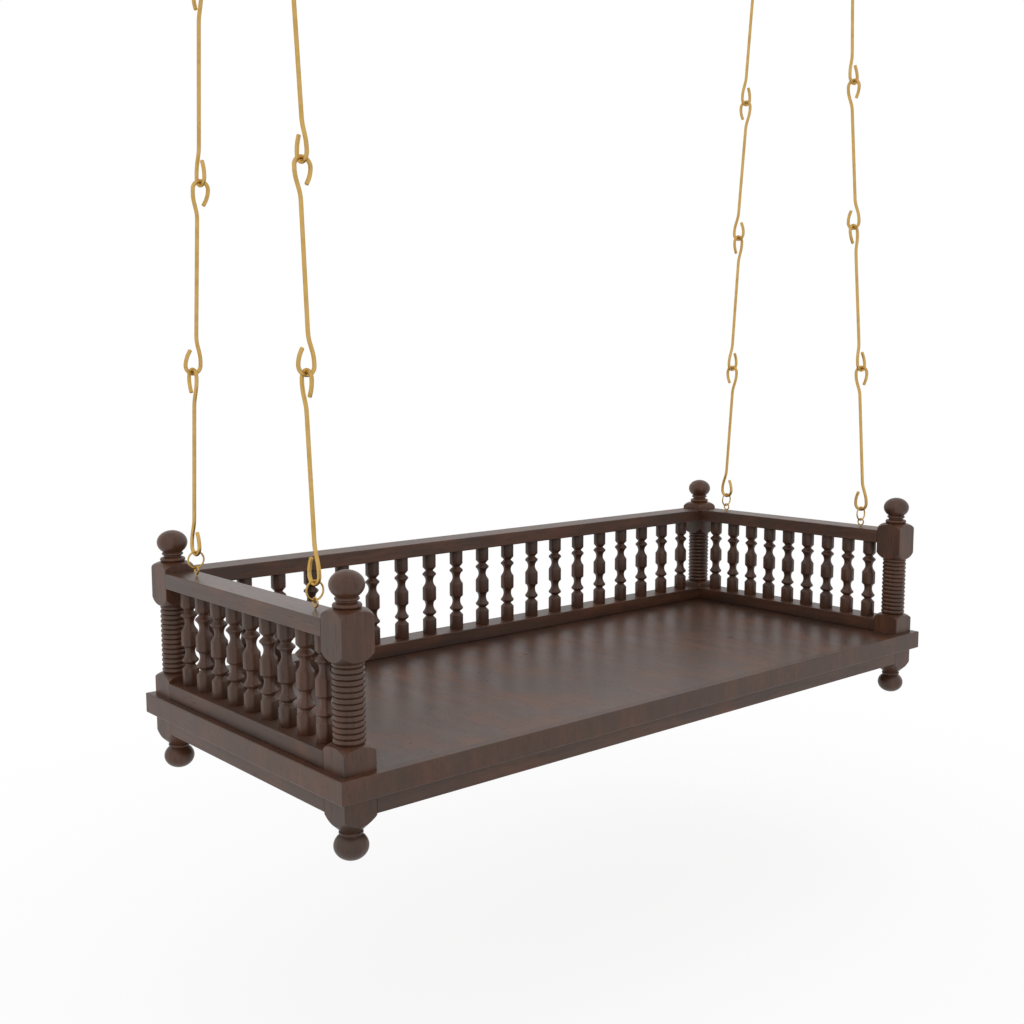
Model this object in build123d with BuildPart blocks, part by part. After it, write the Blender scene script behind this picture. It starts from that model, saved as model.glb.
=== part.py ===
"""Jhoola swing: a low railed wooden platform hung from the ceiling on four chains of brass hook rods.

Frame: millimetres, +Z up, origin on the floor plane under the middle of the platform. X runs along
the bench, -Y is the open front that a sitter faces, +Y is the railed back. Left is -X.
"""

import os
from math import acos, cos, pi, radians, sin, sqrt, tan

from build123d import *

os.makedirs("parts", exist_ok=True)

# ---------------------------------------------------------------- driving dimensions, platform
LENGTH = 1371.6  # over the deck rim, 54 inches
DEPTH = 584.2  # over the deck rim, 23 inches
FINIAL_TOP = 393.7  # feet to finials, 15.5 inches

DECK_TOP = 124.0
RIM_HEIGHT = 33.3
RIM_THICK = 16.0
RIM_EASE = 1.6
RIM_LOW_EASE = 2.4
PANEL_THICK = 19.0
APRON_BOTTOM = 65.0
APRON_THICK = 20.0

STOCK = 51.4  # square stock of posts, legs and rails
POST_INSET = 37.4  # rim face to post axis
STOCK_EASE = 1.2

RAIL_HEIGHT = 25.0
TOP_RAIL_BOTTOM = 303.5
RAIL_EASE = 1.5

SPINDLE_RADIUS = 12.7  # half the width over the flats, foot and bulb
SPINDLE_HEAD_RADIUS = 12.3
SPINDLE_SIDES = 8
SPINDLE_TENON_RADIUS = 5.0
SPINDLE_TENON_LENGTH = 9.0
BACK_SPINDLES = 19
BACK_PITCH = 65.1
SIDE_SPINDLES = 9
SIDE_PITCH = 49.95
SIDE_SHIFT = 3.0  # side rows stand this much behind the middle of their rails
FIT_GAP = 0.05  # radial gap around hidden tenons, dowels and screws
BORE_SPARE = 0.5  # depth left empty under a tenon or a screw point
DRILL_SPARE = 1.0  # depth left empty past the end of a bolt or dowel

BATTEN_WIDTH = 40.0
BATTEN_HEIGHT = 24.0
BATTEN_SPACING = 380.0
BRACE_THICK = 20.0
BRACE_HEIGHT = 22.0
BRACE_CLEAR = 1.5  # brace to the leg's corner, measured along the apron

BOLT_RADIUS = 4.0
BOLT_BOTTOM = 72.0
BOLT_TOP = 160.0
DOWEL_RADIUS = 5.0
DOWEL_LENGTH = 36.0
SCREW_RADIUS = 2.0
SCREW_LENGTH = 36.0
SCREW_HEAD_RADIUS = 4.0
SCREW_HEAD_HEIGHT = 2.4
SCREW_SPACING = 125.0
SCREWS_PER_BATTEN = 4

# ---------------------------------------------------------------- driving dimensions, hanging gear
CHAIN_X = 647.4  # chain foot from the middle of the bench, along X
CHAIN_SPREAD = 175.0  # chain foot from the middle of the bench, along Y
CHAIN_FOOT = 341.5  # height of the lower ring's bottom wire centre
ROD_RADIUS = 3.0
ROD_PITCH = 282.0  # pull length of one rod, inside of hook to inside of hook
# How far each rod, counted from the lowest, draws towards the middle along X and along Y over its pitch.
ROD_DRIFTS = [(0.0, 9.2), (12.7, 20.1), (-1.5, 11.1), (1.3, 14.7)]
HOOK_RADIUS = 12.4  # hook centreline
HOOK_GAP = 0.3  # between two hooks that pull on each other
PIVOT_GAP = 0.3  # between a ring and what turns in it
RING_WIRE_RADIUS = 1.4
RING_RADIUS = 13.3  # ring centreline
EYE_WIRE_RADIUS = 1.3
EYE_RADIUS = 6.3  # eye centreline
EYE_THREAD = 18.0
OPEN_EYE_SHIFT = 1.3  # back eyes stand this much forward of their ring at rest
OPEN_EYE_DROP = 2.6  # back eye centre under the ring's bottom wire centre
CEILING_WIRE_RADIUS = 4.0
CEILING_EYE_RADIUS = 16.0
PLATE_RADIUS = 34.0
PLATE_THICK = 5.0
PLATE_STEM_RADIUS = 7.0
PLATE_STEM_HEIGHT = 14.0
PLATE_HOLES = 4
PLATE_HOLE_RADIUS = 2.75
PLATE_HOLE_CIRCLE = 25.0  # radius of the circle that the holes stand on
PLATE_HOLE_TURN = 45.0

# ---------------------------------------------------------------- turned outlines, (radius, height)
TURNED_CLEAR = 36.5  # turning radius that leaves the corners of the square stock alone
BALL_RADIUS = 24.1

# Post, heights above the floor. A shoulder is the curve from a square block's corners into the turned
# part, given by where the tangents at its two ends meet.
LOWER_BLOCK_CORNER = 150.3
LOWER_SHOULDER = (35.2, 156.8)
BEADS = 13
BEADS_BOTTOM = 161.8
BEAD_PITCH = 8.0
BEAD_RADIUS = 22.4
GROOVE_RADIUS = 19.1
COLLAR_RADIUS = 22.0
COLLAR_HEIGHT = 5.2
COLLAR_LIP_RADIUS = 21.4
UPPER_SHOULDER = (31.8, 276.8)
UPPER_BLOCK_LOW = 286.3
UPPER_BLOCK_HIGH = 331.5
CAP_SHOULDER = (33.0, 341.0)
CAP_RING = [(17.2, 343.6), (19.9, 346.9), (16.6, 350.2)]
CAP_NECK = [(16.6, 350.2), (13.4, 351.6), (13.4, 353.6)]
CAP_BEAD = [(13.4, 353.6), (16.8, 356.0), (14.8, 358.4)]
FINIAL_NECK_RADIUS = 14.8
FINIAL_HALF_HEIGHT = 19.4

# Leg, heights above the floor.
LEG_BLOCK_CORNER = 64.0
LEG_SHOULDER = [(TURNED_CLEAR, LEG_BLOCK_CORNER), (32.4, 57.0), (20.4, 47.5), (15.6, 42.0)]
LEG_NECK = [(15.6, 42.0), (15.0, 41.4), (15.0, 41.0)]
LEG_RING = [(15.0, 41.0), (16.8, 38.8), (15.0, 36.6)]
FOOT_NECK_RADIUS = 15.0
FOOT_HALF_HEIGHT = 20.0

# Spindle, (half width over the flats, height above the bottom rail).
SPINDLE_NECK_RADIUS = 7.2
SPINDLE_FOOT = [(0, 0), (SPINDLE_RADIUS, 0), (SPINDLE_RADIUS, 27.2)]
SPINDLE_FOOT_NECK = [(SPINDLE_RADIUS, 27.2), (SPINDLE_NECK_RADIUS, 33.2), (SPINDLE_NECK_RADIUS, 34.5)]
SPINDLE_LOW_BEAD = [(SPINDLE_NECK_RADIUS, 34.5), (SPINDLE_RADIUS, 39.2), (SPINDLE_RADIUS, 41.9)]
SPINDLE_LOW_COVE = [(SPINDLE_RADIUS, 41.9), (7.5, 54.4), (9.0, 61.6)]
SPINDLE_BULB = [(9.0, 61.6), (SPINDLE_RADIUS, 65.2), (SPINDLE_RADIUS, 88.2), (9.4, 93.4)]
SPINDLE_HIGH_COVE = [(9.4, 93.4), (7.1, 101.3), (SPINDLE_RADIUS, 112.8)]
SPINDLE_HIGH_BEAD = [(SPINDLE_RADIUS, 112.8), (SPINDLE_RADIUS, 115.4), (SPINDLE_NECK_RADIUS, 120.6)]
SPINDLE_HEAD_NECK = [(SPINDLE_NECK_RADIUS, 120.6), (SPINDLE_NECK_RADIUS, 121.8), (SPINDLE_HEAD_RADIUS, 127.6)]

# ---------------------------------------------------------------- worked out
HALF_LENGTH = LENGTH / 2
HALF_DEPTH = DEPTH / 2
HALF_STOCK = STOCK / 2
POST_X = HALF_LENGTH - POST_INSET
POST_Y = HALF_DEPTH - POST_INSET
LEG_IN_X = POST_X - HALF_STOCK
LEG_IN_Y = POST_Y - HALF_STOCK
APRON_OUT_X = POST_X + HALF_STOCK
APRON_OUT_Y = POST_Y + HALF_STOCK
APRON_IN_X = APRON_OUT_X - APRON_THICK
APRON_IN_Y = APRON_OUT_Y - APRON_THICK
PANEL_X = HALF_LENGTH - RIM_THICK
PANEL_Y = HALF_DEPTH - RIM_THICK
RIM_BOTTOM = DECK_TOP - RIM_HEIGHT
PANEL_BOTTOM = DECK_TOP - PANEL_THICK
BATTEN_BOTTOM = PANEL_BOTTOM - BATTEN_HEIGHT
TOP_RAIL_TOP = TOP_RAIL_BOTTOM + RAIL_HEIGHT
BOTTOM_RAIL_TOP = DECK_TOP + RAIL_HEIGHT
SPINDLE_LENGTH = TOP_RAIL_BOTTOM - BOTTOM_RAIL_TOP
BEADS_TOP = BEADS_BOTTOM + BEADS * BEAD_PITCH
COLLAR_TOP = BEADS_TOP + COLLAR_HEIGHT

SIDES = {"left": -1, "right": 1}
ENDS = {"front": -1, "back": 1}
CORNERS = [(f"{end}_{side}", SIDES[side], ENDS[end]) for end in ENDS for side in SIDES]
POST_SPOTS = [(side * POST_X, end * POST_Y) for _, side, end in CORNERS]
UPRIGHT = (Align.CENTER, Align.CENTER, Align.MIN)


def save(builder, name):
    """Label a finished piece and write it as its own STEP file."""
    builder.part.label = name
    export_step(builder.part, f"parts/{name}.step")


def dowel_hole(mouth, inward):
    """Blind hole for half a rail dowel, drilled into the open part from its mouth along inward."""
    with Locations(Plane(origin=mouth, z_dir=inward)):
        Cylinder(
            DOWEL_RADIUS + FIT_GAP, DOWEL_LENGTH / 2 + DRILL_SPARE, align=UPRIGHT, mode=Mode.SUBTRACT
        )


def arc_handle(turn):
    """Length of the handles of a curve that follows a circle through turn radians, per unit of radius."""
    return 4 / 3 * tan(turn / 4)


def ball_outline(middle, half_height, neck_radius, way):
    """Adds the half outline of a ball to the open line, from its neck to its pole, and returns both ends.

    way is 1 where the pole is at the top and -1 where it is at the bottom.
    """
    neck = acos(neck_radius / BALL_RADIUS)
    near, far = arc_handle(neck), arc_handle(pi / 2)
    start = (neck_radius, middle - way * half_height * sin(neck))
    widest = (BALL_RADIUS, middle)
    pole = (0, middle + way * half_height)
    Bezier(
        start,
        (neck_radius + near * BALL_RADIUS * sin(neck), start[1] + way * near * half_height * cos(neck)),
        (BALL_RADIUS, middle - way * near * half_height),
        widest,
    )
    Bezier(
        widest,
        (BALL_RADIUS, middle + way * far * half_height),
        (far * BALL_RADIUS, pole[1]),
        pole,
    )
    return start, pole


# ---------------------------------------------------------------- posts and legs
def post(corner, side, end):
    """One turned corner post with its finial, standing on the deck."""
    x, y = side * POST_X, end * POST_Y
    lower_shoulder = [(TURNED_CLEAR, LOWER_BLOCK_CORNER), LOWER_SHOULDER, (GROOVE_RADIUS, BEADS_BOTTOM)]
    collar = [
        (GROOVE_RADIUS, BEADS_TOP),
        (COLLAR_RADIUS, BEADS_TOP + COLLAR_HEIGHT / 2),
        (COLLAR_LIP_RADIUS, COLLAR_TOP),
    ]
    upper_shoulder = [(COLLAR_LIP_RADIUS, COLLAR_TOP), UPPER_SHOULDER, (TURNED_CLEAR, UPPER_BLOCK_LOW)]
    with BuildPart() as piece:
        with BuildSketch(Plane(origin=(x, y, 0), x_dir=(1, 0, 0), z_dir=(0, -1, 0))):
            with BuildLine():
                Polyline((0, DECK_TOP), (TURNED_CLEAR, DECK_TOP), lower_shoulder[0])
                Bezier(*lower_shoulder)
                for bead in range(BEADS):
                    foot = BEADS_BOTTOM + bead * BEAD_PITCH
                    ThreePointArc(
                        (GROOVE_RADIUS, foot),
                        (BEAD_RADIUS, foot + BEAD_PITCH / 2),
                        (GROOVE_RADIUS, foot + BEAD_PITCH),
                    )
                ThreePointArc(*collar)
                Bezier(*upper_shoulder)
                Line(upper_shoulder[-1], (TURNED_CLEAR, UPPER_BLOCK_HIGH))
                Bezier((TURNED_CLEAR, UPPER_BLOCK_HIGH), CAP_SHOULDER, CAP_RING[0])
                ThreePointArc(*CAP_RING)
                Polyline(*CAP_NECK)
                ThreePointArc(*CAP_BEAD)
                neck, pole = ball_outline(
                    FINIAL_TOP - FINIAL_HALF_HEIGHT, FINIAL_HALF_HEIGHT, FINIAL_NECK_RADIUS, 1
                )
                Line(CAP_BEAD[-1], neck)
                Line(pole, (0, DECK_TOP))
            make_face()
        revolve(axis=Axis((x, y, 0), (0, 0, 1)))
        with BuildSketch(Plane.XY):
            with Locations((x, y)):
                RectangleRounded(STOCK, STOCK, STOCK_EASE)
        extrude(amount=FINIAL_TOP + STOCK, mode=Mode.INTERSECT)
        with Locations((x, y, DECK_TOP)):
            Cylinder(
                BOLT_RADIUS + FIT_GAP, BOLT_TOP - DECK_TOP + DRILL_SPARE,
                align=UPRIGHT, mode=Mode.SUBTRACT,
            )
        for rail_bottom in (DECK_TOP, TOP_RAIL_BOTTOM):
            middle = rail_bottom + RAIL_HEIGHT / 2
            dowel_hole(Vector(x, y - end * HALF_STOCK, middle), Vector(0, end, 0))
            if end > 0:
                dowel_hole(Vector(x - side * HALF_STOCK, y, middle), Vector(side, 0, 0))
    save(piece, f"post_{corner}")


def leg(corner, side, end):
    """One turned leg with its ball foot, rebated at the top for the rim."""
    x, y = side * POST_X, end * POST_Y
    with BuildPart() as piece:
        with BuildSketch(Plane(origin=(x, y, 0), x_dir=(1, 0, 0), z_dir=(0, -1, 0))):
            with BuildLine():
                Polyline((0, PANEL_BOTTOM), (TURNED_CLEAR, PANEL_BOTTOM), LEG_SHOULDER[0])
                Bezier(*LEG_SHOULDER)
                Polyline(*LEG_NECK)
                ThreePointArc(*LEG_RING)
                neck, pole = ball_outline(FOOT_HALF_HEIGHT, FOOT_HALF_HEIGHT, FOOT_NECK_RADIUS, -1)
                Line(LEG_RING[-1], neck)
                Line(pole, (0, PANEL_BOTTOM))
            make_face()
        revolve(axis=Axis((x, y, 0), (0, 0, 1)))
        with BuildSketch(Plane.XY.offset(-STOCK)):
            with Locations((x, y)):
                RectangleRounded(STOCK, STOCK, STOCK_EASE)
        extrude(amount=STOCK + PANEL_BOTTOM + STOCK, mode=Mode.INTERSECT)
        with BuildSketch(Plane.XY.offset(RIM_BOTTOM)):
            Rectangle(LENGTH, DEPTH)
            Rectangle(2 * PANEL_X, 2 * PANEL_Y, mode=Mode.SUBTRACT)
        extrude(amount=RIM_HEIGHT, mode=Mode.SUBTRACT)
        with Locations((x, y, BOLT_BOTTOM - DRILL_SPARE)):
            Cylinder(
                BOLT_RADIUS + FIT_GAP, PANEL_BOTTOM - BOLT_BOTTOM + DRILL_SPARE,
                align=UPRIGHT, mode=Mode.SUBTRACT,
            )
    save(piece, f"leg_{corner}")


for corner_name, corner_side, corner_end in CORNERS:
    post(corner_name, corner_side, corner_end)
    leg(corner_name, corner_side, corner_end)

with BuildPart() as post_bolts:
    with BuildSketch(Plane.XY.offset(BOLT_BOTTOM)):
        with Locations(*POST_SPOTS):
            Circle(BOLT_RADIUS)
    extrude(amount=BOLT_TOP - BOLT_BOTTOM)
save(post_bolts, "post_bolts")

# ---------------------------------------------------------------- deck
BATTEN_SPOTS = [(-BATTEN_SPACING, 0), (0, 0), (BATTEN_SPACING, 0)]
SCREW_SPOTS = [
    (x, (row - (SCREWS_PER_BATTEN - 1) / 2) * SCREW_SPACING)
    for x, _ in BATTEN_SPOTS
    for row in range(SCREWS_PER_BATTEN)
]

with BuildPart() as deck_panel:
    with BuildSketch(Plane.XY.offset(PANEL_BOTTOM)):
        Rectangle(2 * PANEL_X, 2 * PANEL_Y)
        with Locations(*POST_SPOTS):
            Circle(BOLT_RADIUS + FIT_GAP, mode=Mode.SUBTRACT)
    extrude(amount=PANEL_THICK)
    with BuildSketch(Plane.XY.offset(PANEL_BOTTOM)):
        with Locations(*SCREW_SPOTS):
            Circle(SCREW_RADIUS + FIT_GAP)
    extrude(amount=BATTEN_BOTTOM + SCREW_LENGTH - PANEL_BOTTOM + BORE_SPARE, mode=Mode.SUBTRACT)
save(deck_panel, "deck_panel")


def rim(name, along, across, half_along, half_across):
    """One mitred rim strip. along and across are unit vectors; across points out of the deck."""
    frame = Plane(origin=(0, 0, RIM_BOTTOM), x_dir=along, z_dir=(0, 0, 1))
    out = 1 if frame.y_dir.dot(across) > 0 else -1
    with BuildPart() as piece:
        with BuildSketch(frame):
            Polygon(
                (-half_along, out * half_across),
                (half_along, out * half_across),
                (half_along - RIM_THICK, out * (half_across - RIM_THICK)),
                (-half_along + RIM_THICK, out * (half_across - RIM_THICK)),
                align=None,
            )
        extrude(amount=RIM_HEIGHT)
        for ease, place in ((RIM_LOW_EASE, 0), (RIM_EASE, -1)):
            outer = piece.faces().sort_by(Axis(frame.origin, across))[-1]
            long_edges = outer.edges().filter_by(Axis((0, 0, 0), along)).sort_by(Axis.Z)
            fillet(long_edges[place], radius=ease)
    save(piece, name)


rim("rim_front", Vector(1, 0, 0), Vector(0, -1, 0), HALF_LENGTH, HALF_DEPTH)
rim("rim_back", Vector(1, 0, 0), Vector(0, 1, 0), HALF_LENGTH, HALF_DEPTH)
rim("rim_left", Vector(0, 1, 0), Vector(-1, 0, 0), HALF_DEPTH, HALF_LENGTH)
rim("rim_right", Vector(0, 1, 0), Vector(1, 0, 0), HALF_DEPTH, HALF_LENGTH)


def apron(name, low, high):
    """One apron board between two legs, given by its corners, rebated under the rim."""
    with BuildPart() as piece:
        with BuildSketch(Plane.XY.offset(APRON_BOTTOM)):
            with Locations(((low[0] + high[0]) / 2, (low[1] + high[1]) / 2)):
                Rectangle(high[0] - low[0], high[1] - low[1])
        extrude(amount=PANEL_BOTTOM - APRON_BOTTOM)
        with BuildSketch(Plane.XY.offset(RIM_BOTTOM)):
            Rectangle(LENGTH, DEPTH)
            Rectangle(2 * PANEL_X, 2 * PANEL_Y, mode=Mode.SUBTRACT)
        extrude(amount=RIM_HEIGHT, mode=Mode.SUBTRACT)
    save(piece, name)


apron("apron_front", (-LEG_IN_X, -APRON_OUT_Y), (LEG_IN_X, -APRON_IN_Y))
apron("apron_back", (-LEG_IN_X, APRON_IN_Y), (LEG_IN_X, APRON_OUT_Y))
apron("apron_left", (-APRON_OUT_X, -LEG_IN_Y), (-APRON_IN_X, LEG_IN_Y))
apron("apron_right", (APRON_IN_X, -LEG_IN_Y), (APRON_OUT_X, LEG_IN_Y))

with BuildPart() as deck_battens:
    with BuildSketch(Plane.XY.offset(BATTEN_BOTTOM)):
        with Locations(*BATTEN_SPOTS):
            Rectangle(BATTEN_WIDTH, 2 * APRON_IN_Y)
    extrude(amount=BATTEN_HEIGHT)
    with Locations(*[(x, y, BATTEN_BOTTOM) for x, y in SCREW_SPOTS]):
        Cylinder(SCREW_RADIUS + FIT_GAP, BATTEN_HEIGHT, align=UPRIGHT, mode=Mode.SUBTRACT)
        Cone(
            SCREW_HEAD_RADIUS + FIT_GAP, SCREW_RADIUS + FIT_GAP, SCREW_HEAD_HEIGHT,
            align=UPRIGHT, mode=Mode.SUBTRACT,
        )
save(deck_battens, "deck_battens")

with BuildPart() as batten_screws:
    with Locations(*[(x, y, BATTEN_BOTTOM) for x, y in SCREW_SPOTS]):
        Cylinder(SCREW_RADIUS, SCREW_LENGTH, align=UPRIGHT)
        Cone(SCREW_HEAD_RADIUS, SCREW_RADIUS, SCREW_HEAD_HEIGHT, align=UPRIGHT)
save(batten_screws, "batten_screws")

# A brace crosses each inside corner of the aprons just clear of the leg.
BRACE_REACH = (APRON_IN_X - LEG_IN_X) + (APRON_IN_Y - LEG_IN_Y) + BRACE_CLEAR
BRACE_SPAN = BRACE_REACH + BRACE_THICK * sqrt(2)

with BuildPart() as corner_braces:
    with BuildSketch(Plane.XY.offset(PANEL_BOTTOM - BRACE_HEIGHT)):
        for _, side, end in CORNERS:
            Polygon(
                (side * APRON_IN_X, end * (APRON_IN_Y - BRACE_REACH)),
                (side * (APRON_IN_X - BRACE_REACH), end * APRON_IN_Y),
                (side * (APRON_IN_X - BRACE_SPAN), end * APRON_IN_Y),
                (side * APRON_IN_X, end * (APRON_IN_Y - BRACE_SPAN)),
                align=None,
            )
    extrude(amount=BRACE_HEIGHT)
save(corner_braces, "corner_braces")

# ---------------------------------------------------------------- rails and spindles
EYE_SPOTS = {
    (side, end): (side * CHAIN_X, end * CHAIN_SPREAD - (OPEN_EYE_SHIFT if end > 0 else 0))
    for _, side, end in CORNERS
}


def row_places(count, pitch, shift):
    """Distances of a row's spindles from the middle of their rails."""
    return [shift + (place - (count - 1) / 2) * pitch for place in range(count)]


def rail(name, middle, along, half, bottom, mortise_bottom, places, eyes=()):
    """One rail between two posts, bored for its spindles, its end dowels and any eye screws."""
    with BuildPart() as piece:
        with BuildSketch(Plane(origin=middle + Vector(0, 0, bottom), x_dir=along, z_dir=(0, 0, 1))):
            Rectangle(2 * half, STOCK)
        extrude(amount=RAIL_HEIGHT)
        fillet(piece.edges().filter_by(Axis((0, 0, 0), along)), radius=RAIL_EASE)
        with BuildSketch(Plane(origin=middle + Vector(0, 0, mortise_bottom), x_dir=along, z_dir=(0, 0, 1))):
            with Locations(*[(place, 0) for place in places]):
                Circle(SPINDLE_TENON_RADIUS + FIT_GAP)
        extrude(amount=SPINDLE_TENON_LENGTH + BORE_SPARE, mode=Mode.SUBTRACT)
        for way in (-1, 1):
            mouth = middle + along * (way * half) + Vector(0, 0, bottom + RAIL_HEIGHT / 2)
            dowel_hole(mouth, along * -way)
        if eyes:
            with BuildSketch(Plane.XY.offset(TOP_RAIL_TOP - EYE_THREAD - BORE_SPARE)):
                with Locations(*eyes):
                    Circle(EYE_WIRE_RADIUS + FIT_GAP)
            extrude(amount=EYE_THREAD + BORE_SPARE, mode=Mode.SUBTRACT)
    save(piece, name)


def spindles(name, middle, along, places):
    """A run of eight-sided spindles, each with a round tenon at both ends."""
    with BuildPart() as one:
        for pair in range(SPINDLE_SIDES // 2):
            turn = radians(pair * 360 / SPINDLE_SIDES)
            across_flats = Plane(
                origin=(0, 0, BOTTOM_RAIL_TOP),
                x_dir=(cos(turn), sin(turn), 0),
                z_dir=(sin(turn), -cos(turn), 0),
            )
            with BuildSketch(across_flats):
                with BuildLine():
                    Polyline(*SPINDLE_FOOT)
                    Polyline(*SPINDLE_FOOT_NECK)
                    Polyline(*SPINDLE_LOW_BEAD)
                    ThreePointArc(*SPINDLE_LOW_COVE)
                    Polyline(*SPINDLE_BULB)
                    ThreePointArc(*SPINDLE_HIGH_COVE)
                    Polyline(*SPINDLE_HIGH_BEAD)
                    Polyline(*SPINDLE_HEAD_NECK)
                    head_top = (SPINDLE_HEAD_RADIUS, SPINDLE_LENGTH)
                    Polyline(SPINDLE_HEAD_NECK[-1], head_top, (0, SPINDLE_LENGTH), (0, 0))
                make_face()
                mirror(about=Plane.YZ)
            extrude(
                amount=2 * SPINDLE_RADIUS, both=True, mode=Mode.ADD if pair == 0 else Mode.INTERSECT
            )
        with BuildSketch(Plane.XY.offset(BOTTOM_RAIL_TOP - SPINDLE_TENON_LENGTH)):
            Circle(SPINDLE_TENON_RADIUS)
        extrude(amount=SPINDLE_LENGTH + 2 * SPINDLE_TENON_LENGTH)
    with BuildPart() as run:
        with Locations(*[middle + along * place for place in places]):
            add(one.part)
    save(run, name)


SIDE_PLACES = row_places(SIDE_SPINDLES, SIDE_PITCH, SIDE_SHIFT)
RUNS = {
    "left": (Vector(-POST_X, 0, 0), Vector(0, 1, 0), LEG_IN_Y, SIDE_PLACES),
    "right": (Vector(POST_X, 0, 0), Vector(0, 1, 0), LEG_IN_Y, SIDE_PLACES),
    "back": (Vector(0, POST_Y, 0), Vector(1, 0, 0), LEG_IN_X, row_places(BACK_SPINDLES, BACK_PITCH, 0)),
}
LOW_MORTISE_BOTTOM = BOTTOM_RAIL_TOP - SPINDLE_TENON_LENGTH - BORE_SPARE

for where, (run_middle, run_along, run_half, run_places) in RUNS.items():
    run_eyes = [spot for (side, _), spot in EYE_SPOTS.items() if SIDES.get(where) == side]
    rail(
        f"bottom_rail_{where}", run_middle, run_along, run_half,
        DECK_TOP, LOW_MORTISE_BOTTOM, run_places,
    )
    rail(
        f"top_rail_{where}", run_middle, run_along, run_half,
        TOP_RAIL_BOTTOM, TOP_RAIL_BOTTOM, run_places, run_eyes,
    )
    spindles(f"spindles_{where}", run_middle, run_along, run_places)

with BuildPart() as rail_dowels:
    for run_middle, run_along, run_half, _ in RUNS.values():
        for way in (-1, 1):
            for rail_bottom in (DECK_TOP, TOP_RAIL_BOTTOM):
                joint = run_middle + run_along * (way * run_half)
                joint += Vector(0, 0, rail_bottom + RAIL_HEIGHT / 2)
                with BuildSketch(Plane(origin=joint, z_dir=run_along)):
                    Circle(DOWEL_RADIUS)
                extrude(amount=DOWEL_LENGTH / 2, both=True)
save(rail_dowels, "rail_dowels")

# ---------------------------------------------------------------- eye screws in the side rails
FRONT_EYE_DROP = EYE_RADIUS - EYE_WIRE_RADIUS - RING_WIRE_RADIUS - PIVOT_GAP

with BuildPart() as eye_screws:
    for (side, end), (eye_x, eye_y) in EYE_SPOTS.items():
        eye_z = CHAIN_FOOT - (OPEN_EYE_DROP if end > 0 else FRONT_EYE_DROP)
        with BuildSketch(Plane(origin=(eye_x, eye_y, eye_z), x_dir=(0, 1, 0), z_dir=(0, 0, 1))):
            with Locations((EYE_RADIUS, 0)):
                Circle(EYE_WIRE_RADIUS)
        revolve(axis=Axis((eye_x, eye_y, eye_z), (1, 0, 0)))
        with BuildSketch(Plane(origin=(eye_x, eye_y, TOP_RAIL_TOP - EYE_THREAD), z_dir=(0, 0, 1))):
            Circle(EYE_WIRE_RADIUS)
        extrude(amount=eye_z - EYE_RADIUS - (TOP_RAIL_TOP - EYE_THREAD))
save(eye_screws, "eye_screws")

# ---------------------------------------------------------------- chains
HOOK_FOOT = 2 * RING_RADIUS - RING_WIRE_RADIUS - ROD_RADIUS - PIVOT_GAP  # first hook above the ring's foot
ROD_SPAN = ROD_PITCH + 2 * ROD_RADIUS + HOOK_GAP  # hook centreline to hook centreline
LAST_RING_REACH = ROD_SPAN - ROD_RADIUS - RING_WIRE_RADIUS - PIVOT_GAP  # last rod's foot to the top ring's
TOP_RING_PULL = 2 * RING_RADIUS - RING_WIRE_RADIUS - CEILING_WIRE_RADIUS - PIVOT_GAP

# Lower half of a rod's centreline, measured from its lowest point: corners as (sideways, up), and
# the bend radius at each corner but the first.
HOOK_CORNERS = [
    (-5.5, 35.8),
    (-HOOK_RADIUS, 22.0),
    (-HOOK_RADIUS, 0),
    (HOOK_RADIUS, 0),
    (HOOK_RADIUS, 24.0),
    (3.6, 50.0),
]
LOOP_BEND = HOOK_RADIUS - 0.01
HOOK_BENDS = [40.0, LOOP_BEND, LOOP_BEND, 60.0, 55.0]


def pulls(side, end):
    """Unit vectors up the rods of one chain, lowest first."""
    return [
        Vector(-side * inward, -end * towards, sqrt(ROD_PITCH**2 - inward**2 - towards**2)).normalized()
        for inward, towards in ROD_DRIFTS
    ]


def rod_feet(side, end):
    """Lowest centreline point of each rod of one chain, lowest rod first."""
    ups = pulls(side, end)
    feet = [Vector(side * CHAIN_X, end * CHAIN_SPREAD, CHAIN_FOOT) + ups[0] * HOOK_FOOT]
    for up in ups[:-1]:
        feet.append(feet[-1] + up * ROD_PITCH)
    return feet


def square_to(up, hint):
    """The unit vector nearest to hint that is square to up."""
    return (hint - up * hint.dot(up)).normalized()


def ring(name, foot, up, axle_hint):
    """A closed wire ring that stands up from its bottom wire centre, its axle near axle_hint."""
    axle = square_to(up, axle_hint)
    middle = foot + up * RING_RADIUS
    with BuildPart() as piece:
        with BuildSketch(Plane(origin=middle, x_dir=up, z_dir=up.cross(axle))):
            with Locations((RING_RADIUS, 0)):
                Circle(RING_WIRE_RADIUS)
        revolve(axis=Axis(middle, axle))
    save(piece, name)


def rod(name, foot, up, tail_hint):
    """One hook rod. Its bottom hook's tail points away from tail_hint, its top hook's towards it."""
    sideways = square_to(up, tail_hint)
    upper = [(-u, ROD_SPAN - v) for u, v in reversed(HOOK_CORNERS)]
    with BuildPart() as piece:
        with BuildLine(Plane(origin=foot, x_dir=sideways, z_dir=sideways.cross(up))) as wire:
            FilletPolyline(*HOOK_CORNERS, *upper, radius=HOOK_BENDS + list(reversed(HOOK_BENDS)))
        with BuildSketch(Plane(origin=wire.line @ 0, z_dir=wire.line % 0)):
            Circle(ROD_RADIUS)
        sweep(path=wire.line)
    save(piece, name)


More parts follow.
